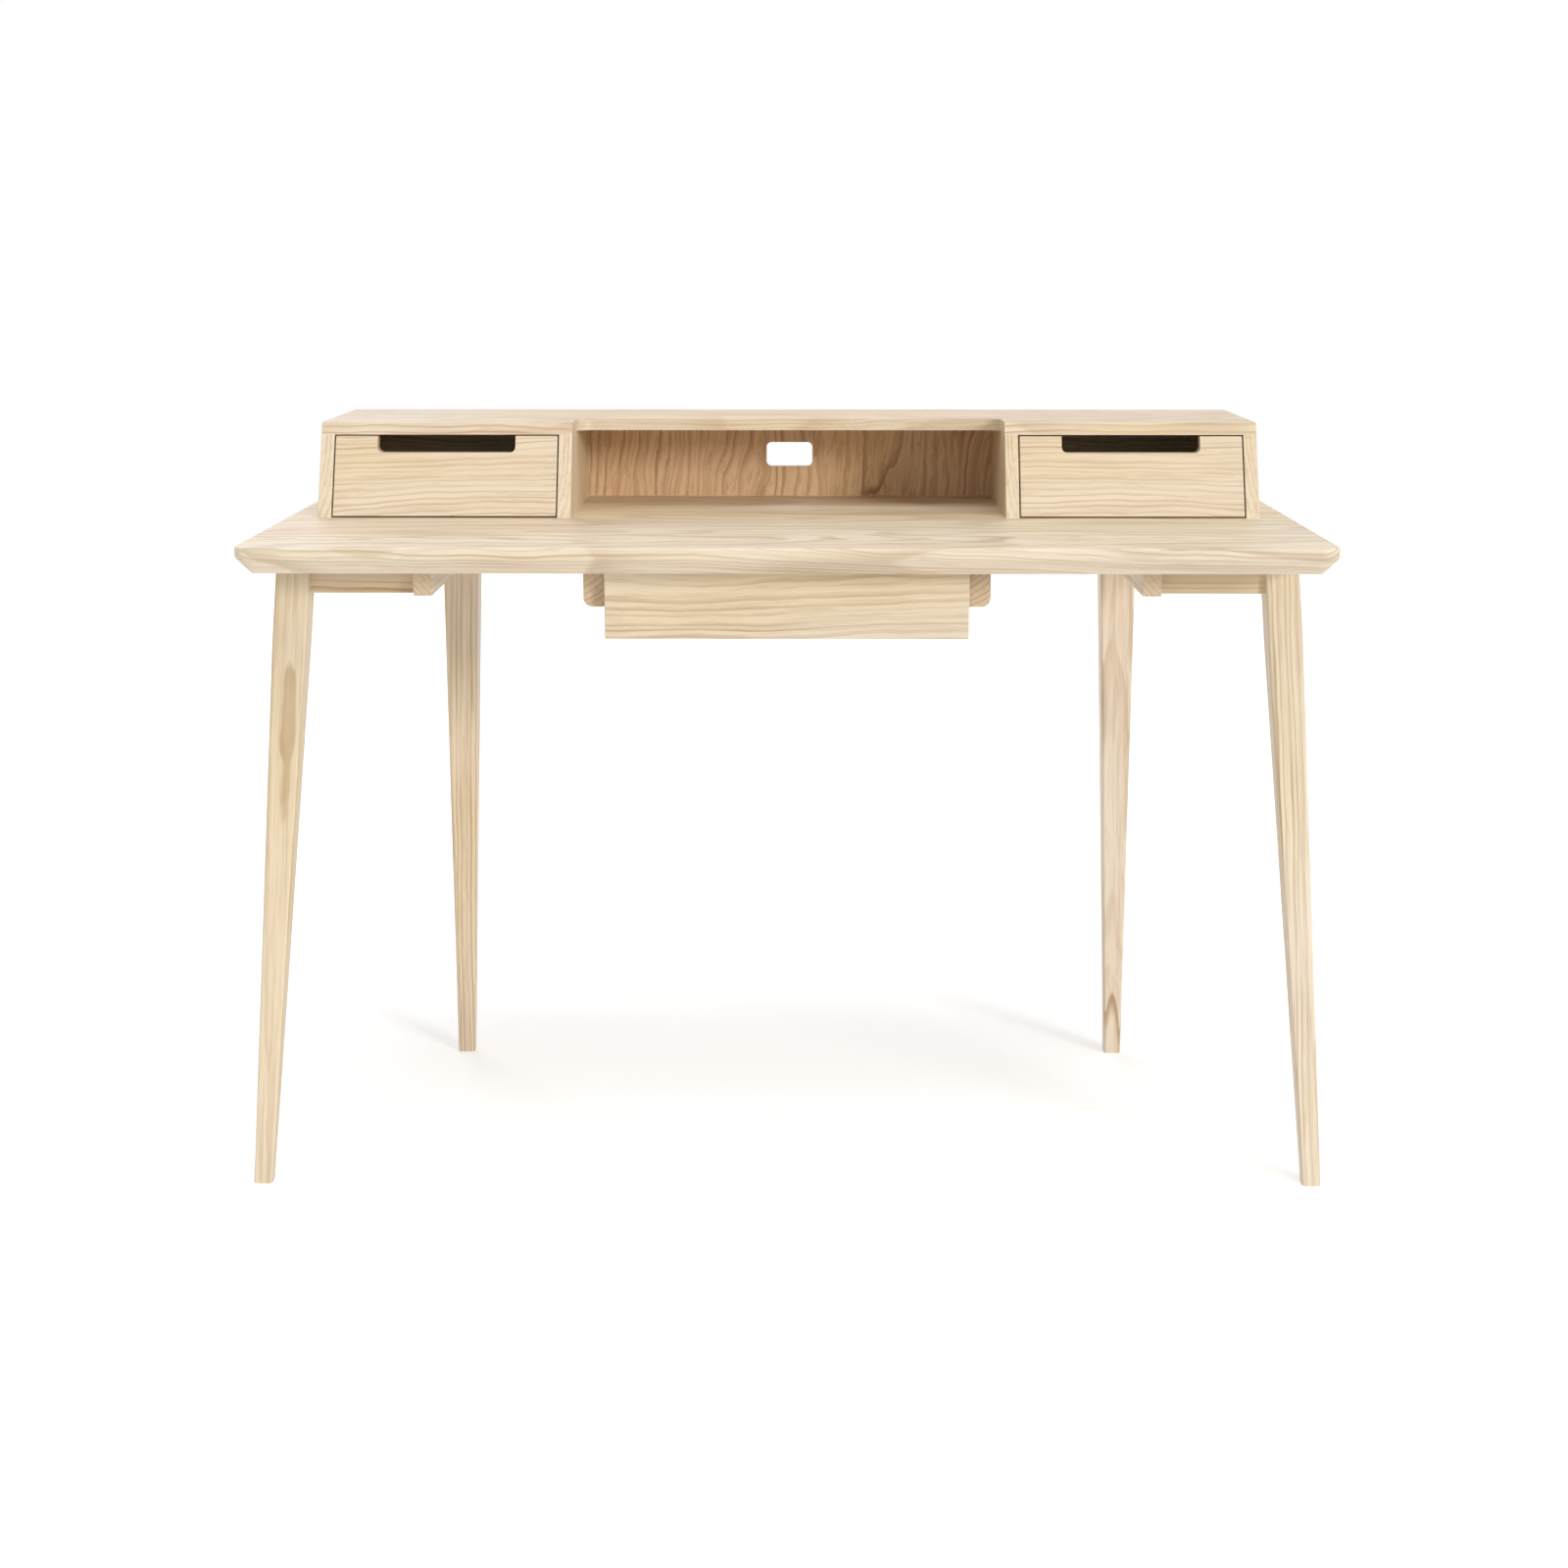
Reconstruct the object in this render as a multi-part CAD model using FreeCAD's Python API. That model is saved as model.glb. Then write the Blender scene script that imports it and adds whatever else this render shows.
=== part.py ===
import FreeCAD, Part
import math
import os

# Writing desk with a low drawer cabinet along the back and a shallow drawer under the top.
# Millimetres. X runs left to right, Y front to back and Z up from the floor.
# The origin is on the floor under the middle of the desk. Left is -X, front is -Y.

# Tabletop
top_width = 1200.0
top_depth = 600.0
top_height = 750.0
top_thickness = 30.0
top_corner_radius = 24.0
top_bevel = 17.5
top_edge_radius = 2.5

# Front legs: full section down to the taper, then slimmer towards the foot
front_leg_side = 38.5
front_leg_foot_side = 21.0
front_leg_taper_drop = 90.0
front_leg_inset_x = 45.5
front_leg_inset_y = 132.0
front_leg_splay_x = 55.0
front_leg_splay_y = -50.0

# Rear legs: an even taper over their whole length
rear_leg_side = 46.0
rear_leg_foot_side = 21.5
rear_leg_inset_x = 181.5
rear_leg_inset_y = 66.0
rear_leg_splay_x = 17.5
rear_leg_splay_y = 52.0
leg_edge_chamfer = 1.8

# Underframe: a short rail from each front leg to a beam that runs back to the rear leg
rail_height = 35.0
rail_thickness = 21.0
beam_overhang = 25.0
beam_inset = 1.5
tenon_thickness = 9.0
tenon_shoulder = 6.0
leg_tenon_length = 20.0
beam_tenon_length = 12.0
leg_dowel_diameter = 10.0
leg_dowel_depth_up = 14.0
leg_dowel_depth_down = 34.0
dowel_wall = 5.0

# Cabinet on the back of the tabletop, open in the middle and leaning back at the front
cabinet_height = 110.0
cabinet_inset = 38.0
cabinet_depth_low = 290.0
cabinet_depth_high = 238.0
cabinet_board = 16.0
cabinet_top_thickness = 14.5
cabinet_back_thickness = 12.0
niche_width = 520.0
recess_depth = 70.0
recess_radius = 20.0
cable_hole_width = 59.0
cable_hole_height = 31.0
cable_hole_rise = 38.0
cable_hole_radius = 6.5
cabinet_dowel_diameter = 8.0
cabinet_dowel_up = 9.0
cabinet_dowel_down = 21.0

# Cabinet drawers
drawer_gap = 1.6
drawer_floor_gap = 0.4
front_thickness = 16.0
box_side_thickness = 10.0
box_back_thickness = 10.0
box_bottom_thickness = 4.0
box_bottom_rise = 6.0
box_top_gap = 12.0
box_back_gap = 13.0
housing_depth = 6.0
groove_depth = 5.0
finger_count = 5
grip_width = 166.0
grip_depth = 19.5
grip_radius = 7.0
stop_block_width = 22.0
stop_block_height = 14.0
stop_gap = 0.8

# Centre drawer under the tabletop, hung on cleats
centre_width = 405.0
centre_front_height = 77.5
centre_front_gap = 2.5
centre_setback = 75.0
centre_rear_space = 45.0
centre_box_drop = 6.0
centre_box_rise = 12.0
centre_side_thickness = 12.0
cleat_size = 12.0
cleat_drop = 18.0
runner_width = 24.0
runner_height = 46.5
runner_radius = 10.0
runner_setback = 95.0
runner_tail = 20.0
side_clearance = 1.0
slide_clearance = 0.4
ledge_height = 12.0
keeper_height = 11.5

# Screws and edges
screw_diameter = 4.0
screw_head_diameter = 8.0
screw_tip_length = 3.0
frame_screw_length = 32.0
frame_counterbore_depth = 18.0
counterbore_diameter = 9.5
cabinet_screw_length = 46.0
back_screw_length = 34.0
recess_slot_length = 4.8
recess_slot_width = 1.1
recess_slot_depth = 1.4
screw_margin = 60.0
back_screw_rise = 27.5
back_screw_fall = 18.5
board_edge_radius = 0.8
front_edge_radius = 1.2

# Levels and lines shared by several pieces
underside_z = top_height - top_thickness
cabinet_top_z = top_height + cabinet_height
cabinet_roof_z = cabinet_top_z - cabinet_top_thickness
front_y = -top_depth / 2
rear_y = top_depth / 2
cabinet_half = top_width / 2 - cabinet_inset
niche_half = niche_width / 2
divider_outer = niche_half + cabinet_board
opening_outer = cabinet_half - cabinet_board
opening_middle = (divider_outer + opening_outer) / 2
back_panel_y = rear_y - cabinet_back_thickness
cabinet_lean = (cabinet_depth_low - cabinet_depth_high) / cabinet_height
front_leg_x = top_width / 2 - front_leg_inset_x
front_leg_y = front_y + front_leg_inset_y
rear_leg_x = top_width / 2 - rear_leg_inset_x
rear_leg_y = rear_y - rear_leg_inset_y
rail_bottom_z = underside_z - rail_height
beam_inner_x = rear_leg_x - rear_leg_side / 2 + beam_inset
beam_outer_x = beam_inner_x + rail_thickness
beam_front_y = front_leg_y - rail_thickness / 2 - beam_overhang
beam_end_y = rear_leg_y - rear_leg_side / 2 + beam_tenon_length
rear_rail_front_y = rear_leg_y - rail_thickness / 2
over = 20.0


def box(x0, x1, y0, y1, z0, z1):
    corner = FreeCAD.Vector(min(x0, x1), min(y0, y1), min(z0, z1))
    return Part.makeBox(abs(x1 - x0), abs(y1 - y0), abs(z1 - z0), corner)


def prism_along_x(outline, x0, x1):
    points = [FreeCAD.Vector(min(x0, x1), y, z) for y, z in outline]
    face = Part.Face(Part.makePolygon(points + [points[0]]))
    return face.extrude(FreeCAD.Vector(abs(x1 - x0), 0, 0))


def leg_section(x, y, z, side):
    # A level square section of a leg, with its corners taken off
    half = side / 2
    cut = half - leg_edge_chamfer
    corners = [(cut, -half), (half, -cut), (half, cut), (cut, half),
               (-cut, half), (-half, cut), (-half, -cut), (-cut, -half)]
    return [FreeCAD.Vector(x + dx, y + dy, z) for dx, dy in corners]


def flat_face(points):
    return Part.Face(Part.makePolygon(points + [points[0]]))


def stacked_block(sections):
    # A solid with flat sides through level sections, from the lowest to the highest
    faces = [flat_face(sections[0]), flat_face(sections[-1])]
    for lower, upper in zip(sections[:-1], sections[1:]):
        for i in range(len(lower)):
            j = (i + 1) % len(lower)
            faces.append(flat_face([lower[i], lower[j], upper[j], upper[i]]))
    solid = Part.Solid(Part.Shell(faces))
    if solid.Volume < 0:
        solid.reverse()
    return solid


def mirrored(shape):
    return shape.mirror(FreeCAD.Vector(0, 0, 0), FreeCAD.Vector(1, 0, 0))


def cut_all(shape, tools):
    for tool in tools:
        shape = shape.cut(tool)
    return shape


def eased(shape, radius, wanted=None):
    edges = [edge for edge in shape.Edges if wanted is None or wanted(edge)]
    return shape.makeFillet(radius, edges)


def runs_along(edge, axis):
    start = edge.Vertexes[0].Point
    end = edge.Vertexes[-1].Point
    along = end - start
    return abs(along.normalize().dot(axis)) > 0.999


def spread(start, end, count):
    step = (end - start) / (count - 1)
    return [start + step * i for i in range(count)]


def lean_y(z):
    # The cabinet's front plane at height z
    return rear_y - cabinet_depth_low + (z - top_height) * cabinet_lean


def screw_outline(length):
    # A countersunk screw that points up, with its head's face at z = 0
    head_height = (screw_head_diameter - screw_diameter) / 2
    shank_length = length - head_height - screw_tip_length
    head = Part.makeCone(screw_head_diameter / 2, screw_diameter / 2, head_height)
    shank = Part.makeCylinder(screw_diameter / 2, shank_length, FreeCAD.Vector(0, 0, head_height))
    tip_start = FreeCAD.Vector(0, 0, length - screw_tip_length)
    tip = Part.makeCone(screw_diameter / 2, 0, screw_tip_length, tip_start)
    return head.fuse([shank, tip]).removeSplitter()


def screw(length):
    arm = recess_slot_length / 2
    slot = recess_slot_width / 2
    across = box(-arm, arm, -slot, slot, -1, recess_slot_depth)
    along = box(-slot, slot, -arm, arm, -1, recess_slot_depth)
    return cut_all(screw_outline(length), [across, along])


def placed(shape, x, y, z, forward=False):
    # Upright, or lying with its point towards the front
    copy = shape.copy()
    if forward:
        copy.rotate(FreeCAD.Vector(0, 0, 0), FreeCAD.Vector(1, 0, 0), 90)
    copy.translate(FreeCAD.Vector(x, y, z))
    return copy


def both_sides(shapes):
    return shapes + [mirrored(shape) for shape in shapes]


def rod(diameter, x, y, z0, z1):
    return Part.makeCylinder(diameter / 2, z1 - z0, FreeCAD.Vector(x, y, z0))


# Where the fasteners go

def frame_screw_places():
    places = [(beam_outer_x - rail_thickness / 2, y)
              for y in spread(beam_front_y + screw_margin, rear_leg_y - rear_leg_side / 2 - screw_margin, 3)]
    rail_middle = (beam_outer_x + front_leg_x - front_leg_side / 2) / 2
    places.append((rail_middle, front_leg_y))
    places += [(-x, y) for x, y in places]
    half_span = beam_inner_x - screw_margin
    places += [(x, rear_leg_y) for x in spread(-half_span, half_span, 3)]
    return places


def runner_screw_places():
    x = centre_width / 2 + side_clearance + runner_width / 2
    rows = spread(runner_front_y + screw_margin, runner_rear_y - screw_margin, 3)
    return [(side * x, y) for side in (-1, 1) for y in rows]


def cabinet_board_middles():
    wide = cabinet_half - cabinet_board / 2
    narrow = divider_outer - cabinet_board / 2
    return [-wide, -narrow, narrow, wide]


def cabinet_fastener_rows(front, rear):
    return spread(front + screw_margin, rear - screw_margin, 2)


def cabinet_screw_places():
    rows = cabinet_fastener_rows(lean_y(top_height), back_panel_y)
    return [(x, y) for x in cabinet_board_middles() for y in rows]


def cabinet_dowel_places():
    rows = cabinet_fastener_rows(lean_y(cabinet_top_z), back_panel_y)
    return [(x, y) for x in cabinet_board_middles() for y in rows]


def back_screw_places():
    narrow = divider_outer - cabinet_board / 2
    levels = (top_height + back_screw_rise, cabinet_roof_z - back_screw_fall)
    return [(side * narrow, z) for side in (-1, 1) for z in levels]


def leg_dowel_places():
    # Each dowel stands in the quarter of the leg's head that the tenons leave free
    reach = leg_dowel_diameter / 2 + dowel_wall
    front = (front_leg_x + front_leg_side / 2 - reach, front_leg_y)
    rear = (rear_leg_x + rear_leg_side / 2 - reach, rear_leg_y + rear_leg_side / 2 - reach)
    return [front, rear, (-front[0], front[1]), (-rear[0], rear[1])]


def leg_dowels():
    z0 = underside_z - leg_dowel_depth_down
    z1 = underside_z + leg_dowel_depth_up
    return [rod(leg_dowel_diameter, x, y, z0, z1) for x, y in leg_dowel_places()]


def cabinet_dowels():
    z0 = cabinet_roof_z - cabinet_dowel_down
    z1 = cabinet_roof_z + cabinet_dowel_up
    return [rod(cabinet_dowel_diameter, x, y, z0, z1) for x, y in cabinet_dowel_places()]


# The centre drawer's lengthwise lines
centre_front_y = front_y + centre_setback
centre_rear_y = rear_rail_front_y - centre_rear_space
runner_front_y = front_y + runner_setback
runner_rear_y = centre_rear_y + runner_tail
frame_screw_z = rail_bottom_z + frame_counterbore_depth
runner_bottom_z = underside_z - runner_height
runner_screw_z = runner_bottom_z + frame_counterbore_depth + runner_height - rail_height
cleat_top_z = underside_z - cleat_drop


# Tabletop and legs

def tabletop():
    slab = box(-top_width / 2, top_width / 2, front_y, rear_y, underside_z, top_height)

    slab = eased(slab, top_corner_radius, lambda edge: edge.BoundBox.ZLength > 1)
    slab = slab.makeChamfer(top_bevel, [edge for edge in slab.Edges if edge.BoundBox.ZMax < underside_z + 1])
    slab = eased(slab, top_edge_radius, lambda edge: edge.BoundBox.ZMin > top_height - 1)
    tools = leg_dowels()
    tools += [placed(screw_outline(frame_screw_length), x, y, frame_screw_z)
              for x, y in frame_screw_places()]
    tools += [placed(screw_outline(frame_screw_length), x, y, runner_screw_z)
              for x, y in runner_screw_places()]
    tools += [placed(screw_outline(cabinet_screw_length), x, y, underside_z)
              for x, y in cabinet_screw_places()]
    return cut_all(slab, tools)


def front_leg_blank():
    drop = front_leg_taper_drop / underside_z
    knee = leg_section(front_leg_x + front_leg_splay_x * drop, front_leg_y + front_leg_splay_y * drop,
                       underside_z - front_leg_taper_drop, front_leg_side)
    foot = leg_section(front_leg_x + front_leg_splay_x, front_leg_y + front_leg_splay_y,
                       0, front_leg_foot_side)
    head = leg_section(front_leg_x, front_leg_y, underside_z, front_leg_side)
    return stacked_block([foot, knee, head])


def rear_leg_blank():
    foot = leg_section(rear_leg_x + rear_leg_splay_x, rear_leg_y + rear_leg_splay_y,
                       0, rear_leg_foot_side)
    head = leg_section(rear_leg_x, rear_leg_y, underside_z, rear_leg_side)
    return stacked_block([foot, head])


def leg(blank, tenons):
    return cut_all(blank, tenons + leg_dowels())


# Tenons: one set of blocks cuts the mortises and is part of the rails

def tenon_block(x0, x1, y0, y1):
    return box(x0, x1, y0, y1, rail_bottom_z + tenon_shoulder, underside_z - tenon_shoulder)


def front_rail_leg_tenon():
    half = tenon_thickness / 2
    face = front_leg_x - front_leg_side / 2
    start = face - over
    end = face + leg_tenon_length
    return tenon_block(start, end, front_leg_y - half, front_leg_y + half)


def front_rail_beam_tenon():
    half = tenon_thickness / 2
    return tenon_block(beam_outer_x - beam_tenon_length, beam_outer_x + over,
                       front_leg_y - half, front_leg_y + half)


def beam_tenon():
    half = tenon_thickness / 2
    middle = beam_outer_x - rail_thickness / 2
    start = rear_leg_y - rear_leg_side / 2
    return tenon_block(middle - half, middle + half, start - over, start + beam_tenon_length)


def rear_rail_tenon():
    half = tenon_thickness / 2
    face = rear_leg_x - rear_leg_side / 2
    return tenon_block(face - over, face + leg_tenon_length, rear_leg_y - half, rear_leg_y + half)


def rail_screw_tools():
    tools = []
    for x, y in frame_screw_places():
        tools.append(placed(screw_outline(frame_screw_length), x, y, frame_screw_z))
        tools.append(rod(counterbore_diameter, x, y, rail_bottom_z - 1, frame_screw_z))
    return tools


def front_rail():
    half = rail_thickness / 2
    rail = box(beam_outer_x, front_leg_x, front_leg_y - half, front_leg_y + half, rail_bottom_z, underside_z)
    rail = eased(rail, board_edge_radius, lambda edge: runs_along(edge, FreeCAD.Vector(1, 0, 0)))
    rail = rail.cut(front_leg_blank())
    rail = rail.fuse([front_rail_leg_tenon(), front_rail_beam_tenon()])
    return cut_all(rail, rail_screw_tools())


def beam():
    bar = box(beam_inner_x, beam_outer_x, beam_front_y, beam_end_y, rail_bottom_z, underside_z)
    bar = eased(bar, board_edge_radius, lambda edge: edge.BoundBox.YMin < beam_end_y - 1)
    bar = bar.cut(rear_leg_blank())
    bar = bar.fuse(beam_tenon())
    return cut_all(bar, [front_rail_beam_tenon()] + rail_screw_tools())


def rear_rail():
    half = rail_thickness / 2
    rail = box(-rear_leg_x, rear_leg_x, rear_leg_y - half, rear_leg_y + half, rail_bottom_z, underside_z)
    rail = eased(rail, board_edge_radius, lambda edge: runs_along(edge, FreeCAD.Vector(1, 0, 0)))
    rail = cut_all(rail, both_sides([rear_leg_blank()]))
    rail = rail.fuse(both_sides([rear_rail_tenon()]))
    return cut_all(rail, rail_screw_tools())


# Cabinet

def cabinet_upright(x0, x1, rear):
    outline = [(lean_y(top_height), top_height), (rear, top_height),
               (rear, cabinet_roof_z), (lean_y(cabinet_roof_z), cabinet_roof_z)]
    board = prism_along_x(outline, x0, x1)
    board = eased(board, board_edge_radius, lambda edge: edge.BoundBox.ZLength > 1)
    tools = cabinet_dowels()
    tools += [placed(screw_outline(cabinet_screw_length), x, y, underside_z)
              for x, y in cabinet_screw_places()]
    tools += [placed(screw_outline(back_screw_length), x, rear_y, z, True) for x, z in back_screw_places()]
    return cut_all(board, tools)


def cabinet_top():
    outline = [(lean_y(cabinet_roof_z), cabinet_roof_z), (rear_y, cabinet_roof_z),
               (rear_y, cabinet_top_z), (lean_y(cabinet_top_z), cabinet_top_z)]
    panel = prism_along_x(outline, -cabinet_half, cabinet_half)
    recess_y = lean_y(cabinet_top_z) + recess_depth
    recess = box(-niche_half, niche_half, lean_y(top_height) - over, recess_y,
                 cabinet_roof_z - 1, cabinet_top_z + 1)
    recess = eased(recess, recess_radius,
                   lambda edge: edge.BoundBox.ZLength > 1 and edge.BoundBox.YMin > recess_y - 1)
    panel = panel.cut(recess)
    panel = eased(panel, board_edge_radius,
                  lambda edge: edge.BoundBox.ZMin > cabinet_top_z - 1 or edge.BoundBox.YMin > rear_y - 1)
    return cut_all(panel, cabinet_dowels())


def cabinet_back():
    panel = box(-opening_outer, opening_outer, back_panel_y, rear_y, top_height, cabinet_roof_z)
    half = cable_hole_width / 2
    low = top_height + cable_hole_rise
    hole = box(-half, half, back_panel_y - 1, rear_y + 1, low, low + cable_hole_height)
    hole = eased(hole, cable_hole_radius, lambda edge: runs_along(edge, FreeCAD.Vector(0, 1, 0)))
    tools = [hole]
    tools += [placed(screw_outline(back_screw_length), x, rear_y, z, True) for x, z in back_screw_places()]
    return cut_all(panel, tools)


# Drawers

def finger_slots(x0, x1, y0, y1, z0, z1, first):
    # Every other layer of a box joint at one corner of a drawer
    height = (z1 - z0) / finger_count
    return [box(x0, x1, y0, y1, z0 + height * i, z0 + height * (i + 1))
            for i in range(first, finger_count, 2)]


def cabinet_drawer():
    # The right-hand drawer: its pieces by name
    x0 = divider_outer + drawer_gap
    x1 = opening_outer - drawer_gap
    low = top_height + drawer_gap
    high = cabinet_roof_z - drawer_gap
    slope = math.sqrt(1 + cabinet_lean * cabinet_lean)
    depth = front_thickness * slope
    outline = [(lean_y(low), low), (lean_y(low) + depth, low),
               (lean_y(high) + depth, high), (lean_y(high), high)]
    front = prism_along_x(outline, x0, x1)
    front = eased(front, front_edge_radius)
    grip = box(opening_middle - grip_width / 2, opening_middle + grip_width / 2,
               lean_y(low) - over, lean_y(high) + depth + over, high - grip_depth, high + over)
    grip = eased(grip, grip_radius,
                 lambda edge: runs_along(edge, FreeCAD.Vector(0, 1, 0)) and edge.BoundBox.ZMax < high)
    front = front.cut(grip)
    side_low = top_height + drawer_floor_gap
    side_high = cabinet_roof_z - box_top_gap
    end_y = back_panel_y - box_back_gap
    into = depth - housing_depth
    outline = [(lean_y(low) + into, low), (lean_y(side_high) + into, side_high),
               (end_y, side_high), (end_y, side_low), (lean_y(low) + depth, side_low),
               (lean_y(low) + depth, low)]
    back_from = end_y - box_back_thickness
    side_a = prism_along_x(outline, x0, x0 + box_side_thickness)
    side_b = prism_along_x(outline, x1 - box_side_thickness, x1)
    back = box(x0, x1, back_from, end_y, side_low, side_high)
    for corner in ((x0, x0 + box_side_thickness), (x1 - box_side_thickness, x1)):
        back = cut_all(back, finger_slots(corner[0], corner[1], back_from, end_y, side_low, side_high, 0))
    side_a = cut_all(side_a, finger_slots(x0, x0 + box_side_thickness, back_from, end_y,
                                          side_low, side_high, 1))
    side_b = cut_all(side_b, finger_slots(x1 - box_side_thickness, x1, back_from, end_y,
                                          side_low, side_high, 1))
    bottom_z = top_height + box_bottom_rise
    bottom = box(x0 + box_side_thickness - groove_depth, x1 - box_side_thickness + groove_depth,
                 lean_y(bottom_z) + depth - groove_depth, back_from + groove_depth,
                 bottom_z, bottom_z + box_bottom_thickness)
    front = cut_all(front, [side_a, side_b, bottom])
    return {
        "front": front,
        "side_inner": side_a.cut(bottom),
        "side_outer": side_b.cut(bottom),
        "back": back.cut(bottom),
        "bottom": bottom,
    }


def cabinet_stop_blocks():
    # Small blocks glued behind each drawer, which stop it flush with the leaning front
    start = back_panel_y - box_back_gap + stop_gap
    blocks = []
    for x in (divider_outer + box_side_thickness * 2, opening_outer - box_side_thickness * 2):
        blocks.append(box(x - stop_block_width / 2, x + stop_block_width / 2, start, back_panel_y,
                          top_height, top_height + stop_block_height))
    return both_sides(blocks)


def centre_drawer():
    half = centre_width / 2
    high = underside_z - centre_front_gap
    low = high - centre_front_height
    back_of_front = centre_front_y + front_thickness
    front = eased(box(-half, half, centre_front_y, back_of_front, low, high), front_edge_radius)
    outer = half - cleat_size - side_clearance / 2
    side_low = low + centre_box_rise
    side_high = underside_z - centre_box_drop
    back_from = centre_rear_y - centre_side_thickness
    inner = outer - centre_side_thickness
    side = box(inner, outer, back_of_front - housing_depth, centre_rear_y, side_low, side_high)
    back = box(-outer, outer, back_from, centre_rear_y, side_low, side_high)
    slots = finger_slots(inner, outer, back_from, centre_rear_y, side_low, side_high, 0)
    back = cut_all(back, both_sides(slots))
    side = cut_all(side, finger_slots(inner, outer, back_from, centre_rear_y, side_low, side_high, 1))
    bottom_z = side_low + box_bottom_rise
    bottom = box(-inner - groove_depth, inner + groove_depth, back_of_front - groove_depth,
                 back_from + groove_depth, bottom_z, bottom_z + box_bottom_thickness)
    side = side.cut(bottom)
    front = cut_all(front, both_sides([side]) + [bottom])
    cleat = box(outer, outer + cleat_size, back_of_front + stop_gap, centre_rear_y,
                cleat_top_z - cleat_size, cleat_top_z)
    cleat = eased(cleat, board_edge_radius,
                  lambda edge: edge.BoundBox.XMin > outer + 1)
    return {
        "front": front,
        "side_left": mirrored(side),
        "side_right": side,
        "back": back.cut(bottom),
        "bottom": bottom,
        "cleat_left": mirrored(cleat),
        "cleat_right": cleat,
    }


def runner_pieces():
    # The right-hand runner: a batten with a ledge under the cleat and a keeper above it
    inner = centre_width / 2 + side_clearance
    strip_inner = centre_width / 2 - cleat_size + side_clearance / 2
    batten = box(inner, inner + runner_width, runner_front_y, runner_rear_y, runner_bottom_z, underside_z)
    batten = eased(batten, runner_radius,
                   lambda edge: runs_along(edge, FreeCAD.Vector(0, 1, 0)) and edge.BoundBox.XMin > inner + 1
                   and edge.BoundBox.ZMax < underside_z - 1)
    tools = []
    for x, y in runner_screw_places():
        tools.append(placed(screw_outline(frame_screw_length), x, y, runner_screw_z))
        tools.append(rod(counterbore_diameter, x, y, runner_bottom_z - 1, runner_screw_z))
    batten = cut_all(batten, tools)
    ledge_top = cleat_top_z - cleat_size - slide_clearance
    keeper_low = cleat_top_z + slide_clearance
    ledge = box(strip_inner, inner, runner_front_y, runner_rear_y, ledge_top - ledge_height, ledge_top)
    keeper = box(strip_inner, inner, runner_front_y, runner_rear_y, keeper_low, keeper_low + keeper_height)
    return batten, ledge, keeper


def centre_stop():
    depth = runner_tail - stop_gap
    start = centre_rear_y + stop_gap
    height = centre_box_drop + stop_block_height
    return box(-stop_block_width, stop_block_width, start, start + depth, underside_z - height, underside_z)


# The whole desk

def build_nodes():
    nodes = {"tabletop": tabletop()}
    front = leg(front_leg_blank(), [front_rail_leg_tenon()])
    rear = leg(rear_leg_blank(), [beam_tenon(), rear_rail_tenon()])
    divider = cabinet_upright(niche_half, divider_outer, back_panel_y)
    side = cabinet_upright(opening_outer, cabinet_half, rear_y)
    batten, ledge, keeper = runner_pieces()
    pairs = {
        "leg_front": front,
        "leg_rear": rear,
        "rail_front": front_rail(),
        "beam": beam(),
        "cabinet_side": side,
        "cabinet_divider": divider,
        "runner": batten,
        "runner_ledge": ledge,
        "runner_keeper": keeper,
    }
    for name, shape in pairs.items():
        nodes[name + "_left"] = mirrored(shape)
        nodes[name + "_right"] = shape
    nodes["rail_rear"] = rear_rail()
    nodes["cabinet_top"] = cabinet_top()
    nodes["cabinet_back"] = cabinet_back()
    for name, shape in cabinet_drawer().items():
        nodes["drawer_left_" + name] = mirrored(shape)
        nodes["drawer_right_" + name] = shape
    for name, shape in centre_drawer().items():
        nodes["drawer_centre_" + name] = shape
    nodes["cabinet_stops"] = Part.makeCompound(cabinet_stop_blocks())
    nodes["centre_stop"] = centre_stop()
    nodes["leg_dowels"] = Part.makeCompound(leg_dowels())
    nodes["cabinet_dowels"] = Part.makeCompound(cabinet_dowels())
    nodes["frame_screws"] = Part.makeCompound(
        [placed(screw(frame_screw_length), x, y, frame_screw_z) for x, y in frame_screw_places()])
    nodes["runner_screws"] = Part.makeCompound(
        [placed(screw(frame_screw_length), x, y, runner_screw_z) for x, y in runner_screw_places()])
    nodes["cabinet_screws"] = Part.makeCompound(
        [placed(screw(cabinet_screw_length), x, y, underside_z) for x, y in cabinet_screw_places()])
    nodes["back_screws"] = Part.makeCompound(
        [placed(screw(back_screw_length), x, rear_y, z, True) for x, z in back_screw_places()])
    return nodes


os.makedirs("parts", exist_ok=True)
for name, shape in build_nodes().items():
    shape.exportStep(os.path.join("parts", name + ".step"))
    print(name, len(shape.Solids), "valid" if shape.isValid() else "NOT VALID", round(shape.Volume / 1000, 1))
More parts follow.
